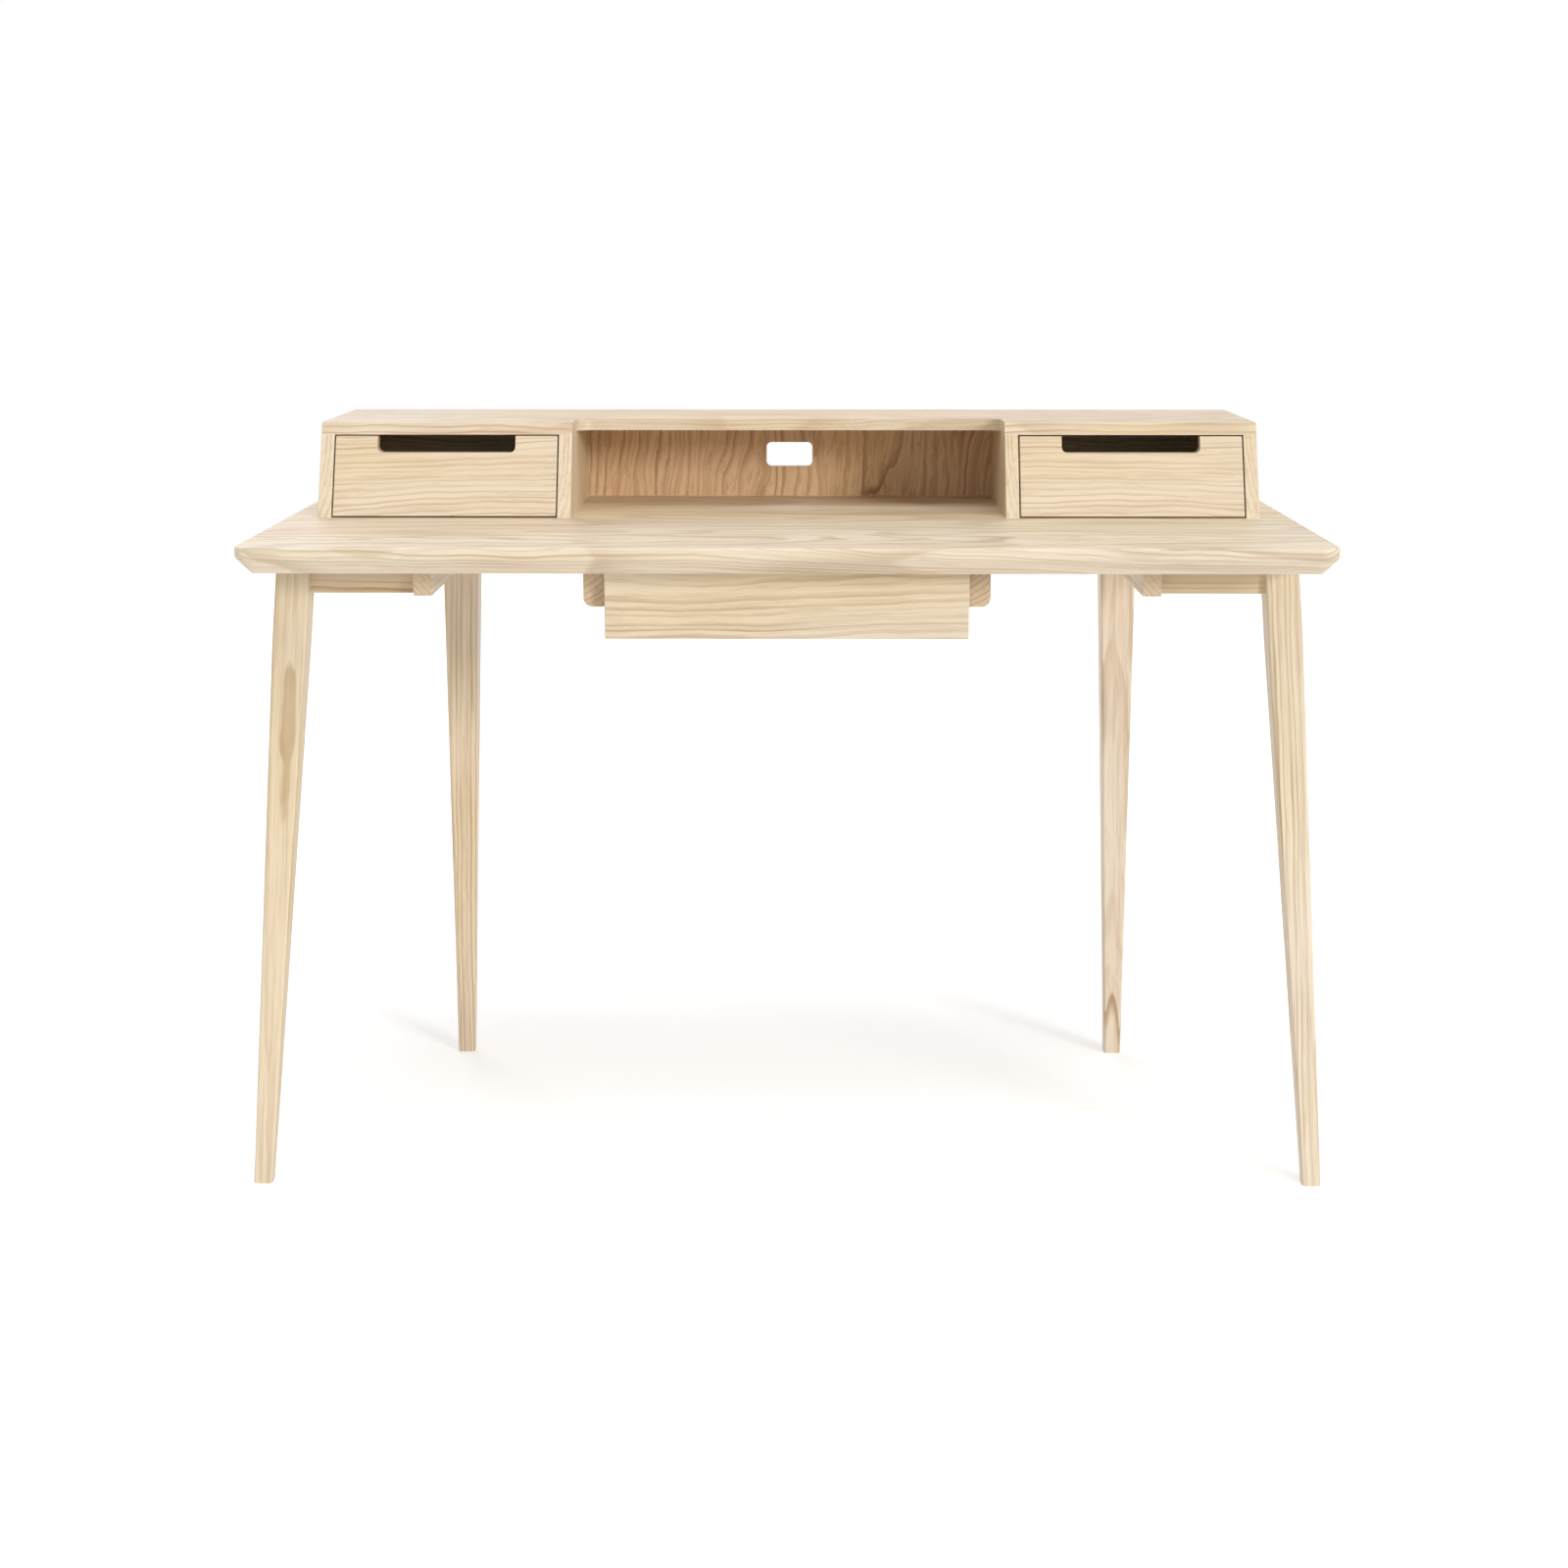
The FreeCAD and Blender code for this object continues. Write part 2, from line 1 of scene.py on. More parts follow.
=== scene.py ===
import bpy
import math
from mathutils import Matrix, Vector


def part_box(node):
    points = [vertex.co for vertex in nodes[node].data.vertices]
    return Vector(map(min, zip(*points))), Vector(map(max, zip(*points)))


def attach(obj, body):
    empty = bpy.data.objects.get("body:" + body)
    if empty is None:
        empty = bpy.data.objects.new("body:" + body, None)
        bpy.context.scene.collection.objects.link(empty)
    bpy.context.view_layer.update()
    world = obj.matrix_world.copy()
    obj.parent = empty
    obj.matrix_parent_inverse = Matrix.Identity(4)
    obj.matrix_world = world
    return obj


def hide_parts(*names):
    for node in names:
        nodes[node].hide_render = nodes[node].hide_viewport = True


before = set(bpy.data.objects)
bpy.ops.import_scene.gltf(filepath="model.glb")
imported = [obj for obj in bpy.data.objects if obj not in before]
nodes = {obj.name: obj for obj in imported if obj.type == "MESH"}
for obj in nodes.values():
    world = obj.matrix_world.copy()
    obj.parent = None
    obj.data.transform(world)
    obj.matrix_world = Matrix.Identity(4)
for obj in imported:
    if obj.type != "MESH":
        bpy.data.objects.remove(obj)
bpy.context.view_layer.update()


def deselectAll():
    for item in bpy.context.selected_objects:
        item.select_set(False)


def addNode(tree, kind, **values):
    node = tree.nodes.new(kind)
    for name, value in values.items():
        setattr(node, name, value)
    return node


def feed(tree, socket, source):
    # a number, a colour or another node's output
    if isinstance(source, bpy.types.NodeSocket):
        tree.links.new(source, socket)
    else:
        socket.default_value = source


def sums(tree, operation, *inputs, clamp=False):
    node = addNode(tree, "ShaderNodeMath", operation=operation, use_clamp=clamp)
    for index, source in enumerate(inputs):
        feed(tree, node.inputs[index], source)
    return node.outputs[0]


def vectors(tree, operation, *inputs):
    node = addNode(tree, "ShaderNodeVectorMath", operation=operation)
    for index, source in enumerate(inputs):
        feed(tree, node.inputs[index], source)
    return node.outputs[0]


def remap(tree, source, fromLow, fromHigh, toLow=0.0, toHigh=1.0):
    node = addNode(tree, "ShaderNodeMapRange", interpolation_type="SMOOTHSTEP")
    feed(tree, node.inputs["Value"], source)
    ends = (("From Min", fromLow), ("From Max", fromHigh), ("To Min", toLow), ("To Max", toHigh))
    for name, value in ends:
        feed(tree, node.inputs[name], value)
    return node.outputs["Result"]


def noise(tree, place, scale=1.0, detail=3.0, roughness=0.5, output="Fac"):
    node = addNode(tree, "ShaderNodeTexNoise", noise_dimensions="3D")
    feed(tree, node.inputs["Vector"], place)
    for name, value in (("Scale", scale), ("Detail", detail), ("Roughness", roughness)):
        node.inputs[name].default_value = value
    return node.outputs[output]


def stretch(tree, place, frequency):
    return vectors(tree, "MULTIPLY", place, frequency)


def mixColour(tree, factor, first, second, blend="MIX"):
    node = addNode(tree, "ShaderNodeMix", data_type="RGBA", blend_type=blend, clamp_factor=True)
    feed(tree, node.inputs[0], factor)
    feed(tree, node.inputs[6], first)
    feed(tree, node.inputs[7], second)
    return node.outputs[2]


def newGroup(name, inputs, outputs):
    group = bpy.data.node_groups.new(name, "ShaderNodeTree")
    for way, sockets in (("INPUT", inputs), ("OUTPUT", outputs)):
        for label, kind in sockets:
            group.interface.new_socket(label, in_out=way, socket_type="NodeSocket" + kind)
    return group, group.nodes.new("NodeGroupInput"), group.nodes.new("NodeGroupOutput")


def newMaterial(name):
    material = bpy.data.materials.new(name)
    material.use_nodes = True
    material.node_tree.nodes.clear()
    return material, material.node_tree


def closeMaterial(tree, shader, height, strength, distance):
    # bump and output, the same for wood and steel
    bump = addNode(tree, "ShaderNodeBump")
    bump.inputs["Strength"].default_value = strength
    bump.inputs["Distance"].default_value = distance
    feed(tree, bump.inputs["Height"], height)
    feed(tree, shader.inputs["Normal"], bump.outputs[0])
    out = addNode(tree, "ShaderNodeOutputMaterial")
    tree.links.new(shader.outputs[0], out.inputs["Surface"])


cameraValues = {
    "place": (0.0195, -3.095, 1.077),  # a little right of the middle, above the cabinet
    "downward": 11.84,  # degrees
    "leftward": 0.45,
    "lens": 59.8,
    "sensor": 36.0,
    "farClip": 50.0,
}


def makeCamera(values):
    data = bpy.data.cameras.new("deskCamera")
    data.lens = values["lens"]
    data.sensor_width = values["sensor"]
    data.clip_end = values["farClip"]
    camera = bpy.data.objects.new("deskCamera", data)
    camera.location = values["place"]
    pitch = math.radians(90.0 - values["downward"])
    camera.rotation_euler = (pitch, 0.0, math.radians(values["leftward"]))
    bpy.context.scene.collection.objects.link(camera)
    bpy.context.scene.camera = camera


lightValues = {
    "worldColour": (1.0, 1.0, 1.0),
    "worldStrength": 0.54,
    "key": {"rightward": 38.0, "upward": 14.0, "softness": 14.0, "strength": 1.42,
            "colour": (1.0, 0.995, 0.985)},
    "over": {"rightward": 15.0, "upward": 68.0, "softness": 34.0, "strength": 0.95,
             "colour": (1.0, 1.0, 1.0)},
    "rear": {"rightward": 205.0, "upward": 32.0, "softness": 34.0, "strength": 0.50,
             "colour": (0.98, 0.99, 1.0)},
    "lampDistance": 4.0,  # a lamp of this kind shines the same from anywhere
    "floorColour": (0.86, 0.86, 0.86),
    "floorGlow": 0.34,  # only the camera and mirrors see it, so the floor reads white
    "floorSide": 14.0,
}


def makeFarLamp(name, values, distance):
    # a wide soft lamp so far off that the whole floor gets the same light
    data = bpy.data.lights.new(name, "SUN")
    data.angle = math.radians(values["softness"])
    data.energy = values["strength"]
    data.color = values["colour"]
    lamp = bpy.data.objects.new(name, data)
    side, rise = math.radians(values["rightward"]), math.radians(values["upward"])
    level = math.cos(rise)
    towards = Vector((math.sin(side) * level, -math.cos(side) * level, math.sin(rise)))
    lamp.location = towards * distance
    lamp.rotation_euler = (-towards).to_track_quat("-Z", "Y").to_euler()
    bpy.context.scene.collection.objects.link(lamp)


def seenDirectly(tree):
    # camera, glossy and transmission rays, but not the ones that light the desk
    rays = addNode(tree, "ShaderNodeLightPath")
    either = sums(tree, "ADD", rays.outputs["Is Camera Ray"], rays.outputs["Is Glossy Ray"], clamp=True)
    return sums(tree, "ADD", either, rays.outputs["Is Transmission Ray"], clamp=True)


def makeWorld(values):
    world = bpy.data.worlds.new("studio")
    bpy.context.scene.world = world
    world.use_nodes = True
    tree = world.node_tree
    tree.nodes.clear()
    lit = addNode(tree, "ShaderNodeBackground")
    lit.inputs["Strength"].default_value = values["worldStrength"]
    seen = addNode(tree, "ShaderNodeBackground")
    for background in (lit, seen):
        background.inputs["Color"].default_value = values["worldColour"] + (1.0,)
    mix = addNode(tree, "ShaderNodeMixShader")
    feed(tree, mix.inputs[0], seenDirectly(tree))
    tree.links.new(lit.outputs[0], mix.inputs[1])
    tree.links.new(seen.outputs[0], mix.inputs[2])
    out = addNode(tree, "ShaderNodeOutputWorld")
    tree.links.new(mix.outputs[0], out.inputs[0])


def makeFloor(values):
    deselectAll()
    bpy.ops.mesh.primitive_plane_add(size=values["floorSide"], location=(0.0, 0.0, 0.0))
    floor = bpy.context.object
    floor.name = "floor"
    material, tree = newMaterial("paleFloor")
    matte = addNode(tree, "ShaderNodeBsdfDiffuse")
    matte.inputs["Color"].default_value = values["floorColour"] + (1.0,)
    glow = addNode(tree, "ShaderNodeEmission")
    glow.inputs["Strength"].default_value = values["floorGlow"]
    none = addNode(tree, "ShaderNodeEmission")
    none.inputs["Strength"].default_value = 0.0
    lift = addNode(tree, "ShaderNodeMixShader")
    feed(tree, lift.inputs[0], seenDirectly(tree))
    tree.links.new(none.outputs[0], lift.inputs[1])
    tree.links.new(glow.outputs[0], lift.inputs[2])
    both = addNode(tree, "ShaderNodeAddShader")
    tree.links.new(matte.outputs[0], both.inputs[0])
    tree.links.new(lift.outputs[0], both.inputs[1])
    out = addNode(tree, "ShaderNodeOutputMaterial")
    tree.links.new(both.outputs[0], out.inputs["Surface"])
    floor.data.materials.append(material)


def alongRings(tree, count):
    node = addNode(tree, "ShaderNodeCombineXYZ")
    feed(tree, node.inputs["X"], count)
    return node.outputs[0]


def lateBand(tree, phase, darkening, ending):
    # dark towards the end of each ring, then a quick stop
    rise = remap(tree, phase, *darkening)
    return sums(tree, "SUBTRACT", rise, remap(tree, phase, *ending), clamp=True)


def pushBy(tree, place, frequency, amount):
    # a wobble of the given size, slow along the grain and quicker across it
    field = noise(tree, stretch(tree, place, frequency), detail=1.0, output="Color")
    centred = vectors(tree, "SUBTRACT", field, (0.5, 0.5, 0.5))
    scaled = addNode(tree, "ShaderNodeVectorMath", operation="SCALE")
    feed(tree, scaled.inputs[0], centred)
    feed(tree, scaled.inputs["Scale"], amount)
    return scaled.outputs[0]


grainValues = {  # three frequencies are per metre, the first of them along the grain
    "sway": {"frequency": (0.9, 3.0, 3.0), "share": 5.0},  # share of the waver
    "wave": {"frequency": (6.0, 13.0, 13.0), "share": 1.6},
    "tremble": {"frequency": (24.0, 60.0, 60.0), "share": 0.28},
    "spacing": {"frequency": 0.33, "share": 2.6},  # good and bad years, per ring
    "ring": {"darkening": (0.50, 0.90), "ending": (0.92, 1.0)},  # shares of one ring's width
    "years": {"frequency": 1.7, "range": (0.32, 0.66, 0.30, 1.0)},  # per ring
    "patches": {"frequency": (4.0, 16.0, 16.0), "range": (0.32, 0.66, 0.35, 1.0)},
    "fibres": {"frequency": (14.0, 700.0, 700.0), "range": (0.44, 0.66)},
    "streaks": {"frequency": (5.0, 190.0, 190.0)},
    "flame": {"frequency": (2.2, 7.5, 7.5), "lines": 7.0, "darkening": (0.35, 0.88),
              "ending": (0.90, 1.0), "range": (0.30, 0.60, 0.55, 1.0)},
    "drift": {"frequency": (1.4, 6.0, 6.0), "honey": (0.50, 0.68), "rose": (0.48, 0.32)},
    "honey": (0.975, 0.93, 0.80, 1.0),
    "rose": (0.975, 0.905, 0.875, 1.0),
}


def makeGrainGroup(values):
    # solid pine: growth rings round a pith that runs along local X, with fibres and slow colour drift
    group, start, end = newGroup(
        "pineGrain",
        [("Place", "Vector"), ("Pale", "Color"), ("Late", "Color"), ("Ring Width", "Float"),
         ("Ring Contrast", "Float"), ("Waver", "Float"), ("Fibre", "Float"), ("Drift", "Float"),
         ("Figure", "Float")],
        [("Color", "Color"), ("Rings", "Float"), ("Fibres", "Float")])
    place = start.outputs["Place"]
    late = start.outputs["Late"]
    # no trunk is straight: a long sway, a wave you can see on a drawer front, and a tremble
    moved = place
    for wobble in ("sway", "wave", "tremble"):
        amount = sums(group, "MULTIPLY", start.outputs["Waver"], values[wobble]["share"])
        push = pushBy(group, place, values[wobble]["frequency"], amount)
        moved = vectors(group, "ADD", moved, push)
    parts = addNode(group, "ShaderNodeSeparateXYZ")
    feed(group, parts.inputs[0], moved)
    across = sums(group, "MULTIPLY", parts.outputs["Y"], parts.outputs["Y"])
    upward = sums(group, "MULTIPLY", parts.outputs["Z"], parts.outputs["Z"])
    radius = sums(group, "SQRT", sums(group, "ADD", across, upward))
    count = sums(group, "DIVIDE", radius, start.outputs["Ring Width"])
    # good and bad years: rings are not evenly spaced or evenly dark
    uneven = noise(group, alongRings(group, count), values["spacing"]["frequency"], 2.0)
    uneven = sums(group, "MULTIPLY", uneven, values["spacing"]["share"])
    count = sums(group, "ADD", count, uneven)
    ring = lateBand(group, sums(group, "FRACT", count), **values["ring"])
    whole = alongRings(group, sums(group, "FLOOR", count))
    year = noise(group, whole, values["years"]["frequency"], 1.0)
    ring = sums(group, "MULTIPLY", ring, remap(group, year, *values["years"]["range"]))
    patches = values["patches"]
    patchy = noise(group, stretch(group, place, patches["frequency"]), detail=2.0)
    ring = sums(group, "MULTIPLY", ring, remap(group, patchy, *patches["range"]))
    # fine fibres and short streaks, half of each
    fibre = stretch(group, moved, values["fibres"]["frequency"])
    fibre = sums(group, "MULTIPLY", noise(group, fibre, roughness=0.6), 0.5)
    streak = stretch(group, moved, values["streaks"]["frequency"])
    streak = sums(group, "MULTIPLY", noise(group, streak, detail=2.0), 0.5)
    fibres = sums(group, "ADD", fibre, streak)
    ringAmount = sums(group, "MULTIPLY", ring, start.outputs["Ring Contrast"], clamp=True)
    colour = mixColour(group, ringAmount, start.outputs["Pale"], late)
    fibreAmount = remap(group, fibres, *values["fibres"]["range"])
    fibreAmount = sums(group, "MULTIPLY", fibreAmount, start.outputs["Fibre"])
    colour = mixColour(group, fibreAmount, colour, late)
    # broad flame figure, where a wide board was cut close to flat with the rings
    figure = values["flame"]
    flame = noise(group, stretch(group, moved, figure["frequency"]), detail=1.0)
    flame = sums(group, "FRACT", sums(group, "MULTIPLY", flame, figure["lines"]))
    flame = lateBand(group, flame, figure["darkening"], figure["ending"])
    flame = sums(group, "MULTIPLY", flame, remap(group, year, *figure["range"]))
    flame = sums(group, "MULTIPLY", flame, start.outputs["Figure"], clamp=True)
    colour = mixColour(group, flame, colour, late)
    # patches that lean towards honey and patches that lean towards rose
    drift = noise(group, stretch(group, place, values["drift"]["frequency"]), detail=2.0)
    leaning = [(tint, mixColour(group, 1.0, colour, values[tint], "MULTIPLY"))
               for tint in ("honey", "rose")]
    for tint, leant in leaning:
        amount = remap(group, drift, *values["drift"][tint])
        amount = sums(group, "MULTIPLY", amount, start.outputs["Drift"])
        colour = mixColour(group, amount, colour, leant)
    feed(group, end.inputs["Color"], colour)
    feed(group, end.inputs["Rings"], ring)
    feed(group, end.inputs["Fibres"], fibres)
    return group


wearValues = {
    "samples": 4,
    "turning": (0.995, 0.88),  # how far the rounded normal leaves the face's own
    "breaks": {"frequency": 38.0, "range": (0.34, 0.62, 0.25, 1.0)},
    "paler": (0.90, 0.82, 0.68, 1.0),
}


def makeWearGroup(values):
    # handled edges: the lacquer is thinner and the wood a little paler on every arris
    group, start, end = newGroup(
        "edgeWear",
        [("Color", "Color"), ("Place", "Vector"), ("Width", "Float"), ("Amount", "Float")],
        [("Color", "Color"), ("Mask", "Float")])
    rounded = addNode(group, "ShaderNodeBevel", samples=values["samples"])
    feed(group, rounded.inputs["Radius"], start.outputs["Width"])
    shape = addNode(group, "ShaderNodeNewGeometry")
    dot = addNode(group, "ShaderNodeVectorMath", operation="DOT_PRODUCT")
    feed(group, dot.inputs[0], rounded.outputs[0])
    feed(group, dot.inputs[1], shape.outputs["Normal"])
    edge = remap(group, dot.outputs["Value"], *values["turning"])
    broken = noise(group, start.outputs["Place"], values["breaks"]["frequency"])
    mask = sums(group, "MULTIPLY", edge, remap(group, broken, *values["breaks"]["range"]))
    mask = sums(group, "MULTIPLY", mask, start.outputs["Amount"])
    worn = mixColour(group, mask, start.outputs["Color"], values["paler"])
    feed(group, end.inputs["Color"], worn)
    feed(group, end.inputs["Mask"], mask)
    return group


grainGroup = makeGrainGroup(grainValues)
wearGroup = makeWearGroup(wearValues)

woodFinish = {
    "pale": (0.80, 0.672, 0.498),
    "late": (0.43, 0.275, 0.135),
    "ringWidth": 0.0072,
    "ringContrast": 0.95,
    "waver": 0.010,
    "fibre": 0.30,
    "drift": 0.75,
    "figure": 0.05,
    "roughness": 0.46,
    "smoother": 0.06,  # roughness swings this far down and up with the fibres
    "rougher": 0.10,
    "fibreSpan": (0.3, 0.7),
    "coat": 0.10,
    "coatRoughness": 0.35,
    "bump": 0.30,
    "bumpHeight": 0.0004,
    "wear": 0.45,
    "wearWidth": 0.0022,
    "wearShine": 0.12,  # roughness lost on a worn edge
}

grainSockets = {  # each input of the grain group and the value it takes
    "Pale": "pale",
    "Late": "late",
    "Ring Width": "ringWidth",
    "Ring Contrast": "ringContrast",
    "Waver": "waver",
    "Fibre": "fibre",
    "Drift": "drift",
    "Figure": "figure",
}

turnFor = {  # which way the pith runs
    "x": (0.0, 0.0, 0.0),
    "y": (0.0, 0.0, math.radians(-90.0)),
    "z": (0.0, math.radians(90.0), 0.0),
}


def woodMaterial(name, grain, pith, tilt=(0.0, 0.0, 0.0), **changes):
    # grain: the board's long way; pith: a point on the middle of the tree that it was sawn from
    values = dict(woodFinish, **changes)
    material, tree = newMaterial(name)
    coords = addNode(tree, "ShaderNodeTexCoord")
    mapping = addNode(tree, "ShaderNodeMapping", vector_type="TEXTURE")
    feed(tree, mapping.inputs["Vector"], coords.outputs["Object"])
    turn = turnFor[grain]
    mapping.inputs["Location"].default_value = pith
    mapping.inputs["Rotation"].default_value = tuple(turn[i] + math.radians(tilt[i]) for i in range(3))
    wood = addNode(tree, "ShaderNodeGroup")
    wood.node_tree = grainGroup
    feed(tree, wood.inputs["Place"], mapping.outputs[0])
    for socket, label in grainSockets.items():
        value = values[label]
        wood.inputs[socket].default_value = value + (1.0,) if isinstance(value, tuple) else value
    wear = addNode(tree, "ShaderNodeGroup")
    wear.node_tree = wearGroup
    feed(tree, wear.inputs["Color"], wood.outputs["Color"])
    feed(tree, wear.inputs["Place"], coords.outputs["Object"])
    wear.inputs["Width"].default_value = values["wearWidth"]
    wear.inputs["Amount"].default_value = values["wear"]
    shader = addNode(tree, "ShaderNodeBsdfPrincipled")
    feed(tree, shader.inputs["Base Color"], wear.outputs["Color"])
    rough = remap(tree, wood.outputs["Fibres"], *values["fibreSpan"],
                  values["roughness"] - values["smoother"], values["roughness"] + values["rougher"])
    shine = sums(tree, "MULTIPLY", wear.outputs["Mask"], values["wearShine"])
    feed(tree, shader.inputs["Roughness"], sums(tree, "SUBTRACT", rough, shine))
    shader.inputs["Coat Weight"].default_value = values["coat"]
    shader.inputs["Coat Roughness"].default_value = values["coatRoughness"]
    height = sums(tree, "MULTIPLY", wood.outputs["Rings"], 0.5)
    height = sums(tree, "ADD", height, wood.outputs["Fibres"])
    closeMaterial(tree, shader, height, values["bump"], values["bumpHeight"])
    return material


steelFinish = {
    "colour": (0.62, 0.60, 0.56),
    "dulled": 0.72,  # share of the colour that is left where it is cloudy
    "cloudFrequency": 900.0,
    "roughness": 0.34,
    "smoother": 0.08,
    "rougher": 0.12,
    "cloudSpan": (0.3, 0.7),
    "bump": 0.2,
    "bumpHeight": 0.0001,
}


def steelMaterial(values):
    material, tree = newMaterial("zincScrew")
    coords = addNode(tree, "ShaderNodeTexCoord")
    cloud = noise(tree, coords.outputs["Object"], values["cloudFrequency"], 4.0)
    shader = addNode(tree, "ShaderNodeBsdfPrincipled")
    bright = values["colour"] + (1.0,)
    dull = tuple(channel * values["dulled"] for channel in values["colour"]) + (1.0,)
    feed(tree, shader.inputs["Base Color"], mixColour(tree, cloud, bright, dull))
    rough = remap(tree, cloud, *values["cloudSpan"],
                  values["roughness"] - values["smoother"], values["roughness"] + values["rougher"])
    feed(tree, shader.inputs["Roughness"], rough)
    shader.inputs["Metallic"].default_value = 1.0
    closeMaterial(tree, shader, cloud, values["bump"], values["bumpHeight"])
    return material


def dress(node, material):
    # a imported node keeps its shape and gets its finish
    data = nodes[node].data
    data.materials.clear()
    data.materials.append(material)


copyValues = {
    "merge": 0.00002,  # metres
    "flatWithin": 0.5,  # degrees
    "sharpFrom": 20.0,
    "smoothTo": 32.0,
}


def mergedCopy(node):
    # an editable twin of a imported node: corners merged, flat faces made whole again
    deselectAll()
    piece = bpy.data.objects.new(node + "_shaped", nodes[node].data.copy())
    bpy.context.scene.collection.objects.link(piece)
    piece.select_set(True)
    bpy.context.view_layer.objects.active = piece
    bpy.ops.object.mode_set(mode="EDIT")
    bpy.ops.mesh.select_all(action="SELECT")
    bpy.ops.mesh.remove_doubles(threshold=copyValues["merge"])
    bpy.ops.mesh.dissolve_limited(angle_limit=math.radians(copyValues["flatWithin"]))
    bpy.ops.object.mode_set(mode="OBJECT")
    return piece


def roundOver(piece, width, segments, wanted):
    # rounds the sharp edges whose two ends both pass the test
    bpy.ops.object.mode_set(mode="EDIT")
    bpy.ops.mesh.select_mode(type="EDGE")
    bpy.ops.mesh.select_all(action="DESELECT")
    bpy.ops.mesh.edges_select_sharp(sharpness=math.radians(copyValues["sharpFrom"]))
    bpy.ops.object.mode_set(mode="OBJECT")
    mesh = piece.data
    chosen = []
    for edge in mesh.edges:
        first, second = (mesh.vertices[index].co for index in edge.vertices)
        if edge.select and wanted(first, second):
            chosen.append(edge.index)
    for kind in (mesh.vertices, mesh.edges, mesh.polygons):
        kind.foreach_set("select", [False] * len(kind))
    for index in chosen:
        mesh.edges[index].select = True
        for corner in mesh.edges[index].vertices:
            mesh.vertices[corner].select = True
    bpy.ops.object.mode_set(mode="EDIT")
    bpy.ops.mesh.bevel(offset=width, segments=segments, affect="EDGES")
    bpy.ops.object.mode_set(mode="OBJECT")
    print("rounded", len(chosen), "edges of", piece.name)


def settle(piece, node, body, material):
    # even shading, finish and body: the piece now stands for its node
    deselectAll()
    piece.select_set(True)
    bpy.context.view_layer.objects.active = piece
    bpy.ops.object.shade_smooth_by_angle(angle=math.radians(copyValues["smoothTo"]))
    even = piece.modifiers.new("evenShading", "WEIGHTED_NORMAL")
    even.keep_sharp = True
    bpy.ops.object.modifier_apply(modifier=even.name)
    piece.data.materials.clear()
    piece.data.materials.append(material)
    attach(piece, body)
    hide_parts(node)


def middleOf(node):
    low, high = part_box(node)
    return (low + high) / 2


def shifted(place, offset):
    return tuple(place[i] + offset[i] for i in range(3))


tabletopValues = {
    "pith": (0.10, -0.20),
    "pithDepth": 0.16,  # how far under the top the middle of the tree lay
    "tilt": (0.0, 1.1, 1.6),
    "upperRound": 0.0030,  # softened line between the front edge and the bevel
    "upperSegments": 4,
    "lowerRound": 0.0015,
    "lowerSegments": 3,
    "bevel": 0.0175,
    "outlineInset": 0.030,
    "reach": 0.0004,  # how near a line has to be to count as found
    "wood": {"ringWidth": 0.0054, "ringContrast": 1.0, "waver": 0.0115, "fibre": 0.26, "drift": 1.0,
             "figure": 0.42, "pale": (0.83, 0.71, 0.54), "late": (0.43, 0.305, 0.17)},
}


def finishTabletop(values):
    low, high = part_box("tabletop")
    piece = mergedCopy("tabletop")
    bevelTop = low.z + values["bevel"]
    insideX, insideY = high.x - values["outlineInset"], high.y - values["outlineInset"]

    def upperLine(first, second):
        return all(abs(end.z - bevelTop) < values["reach"] for end in (first, second))

    def lowerLine(first, second):
        return all(end.z < low.z + values["reach"] and (abs(end.x) > insideX or abs(end.y) > insideY)
                   for end in (first, second))

    roundOver(piece, values["upperRound"], values["upperSegments"], upperLine)
    roundOver(piece, values["lowerRound"], values["lowerSegments"], lowerLine)
    pith = values["pith"] + (high.z - values["pithDepth"],)
    material = woodMaterial("tabletopPine", "x", pith, values["tilt"], **values["wood"])
    settle(piece, "tabletop", "desk", material)


legValues = {
    "arrisRound": 0.0011,
    "arrisSegments": 3,
    "longEdge": 0.06,  # only the edges that run down the leg are this tall
    "front": {"lean": 5.9, "towards": 137.7, "away": 1.3},
    "rear": {"lean": 4.4, "towards": -108.6, "away": 1.0},
    "wood": {"ringWidth": 0.0062, "ringContrast": 0.95, "waver": 0.0042, "fibre": 0.38},
    "frontPith": {"left": (0.004, 0.030, 0.0), "right": (-0.052, 0.012, 0.0)},
    "rearPith": {"left": (0.046, 0.014, 0.0), "right": (0.006, 0.026, 0.0)},
    # these four tones hold painted light: each leg is tinted for the light that falls on it, the right
    # legs paler and cooler than the left, the front legs darker than the rear
    "pale": {"front_left": (0.765, 0.645, 0.48), "front_right": (0.81, 0.705, 0.555),
             "rear_left": (0.79, 0.66, 0.50), "rear_right": (0.83, 0.72, 0.565)},
}


def finishLegs(values):
    def runsDown(first, second):
        return abs(first.z - second.z) > values["longEdge"]

    for end in ("front", "rear"):
        lean = values[end]
        for side in ("left", "right"):
            corner = end + "_" + side
            node = "leg_" + corner
            piece = mergedCopy(node)
            roundOver(piece, values["arrisRound"], values["arrisSegments"], runsDown)
            towards = lean["towards"] if side == "right" else 180.0 - lean["towards"]
            pith = shifted(middleOf(node), values[end + "Pith"][side])
            wood = dict(values["wood"], pale=values["pale"][corner])
            material = woodMaterial(node + "Pine", "z", pith,
                                    (0.0, lean["lean"] - lean["away"], towards), **wood)
            settle(piece, node, "desk", material)


underframeValues = {
    "rail": {"ringWidth": 0.0055, "waver": 0.0045, "pale": (0.73, 0.59, 0.42)},
    "runner": {"ringWidth": 0.006, "waver": 0.005, "pale": (0.68, 0.53, 0.36),
               "late": (0.44, 0.29, 0.16)},
    "frontPith": (0.03, 0.03),  # back, and up or down
    "rearPith": (0.0, -0.06, -0.05),
    "beamPith": (0.05, 0.0, 0.04),
    "runnerPith": (-0.04, 0.06),  # aside and up
}


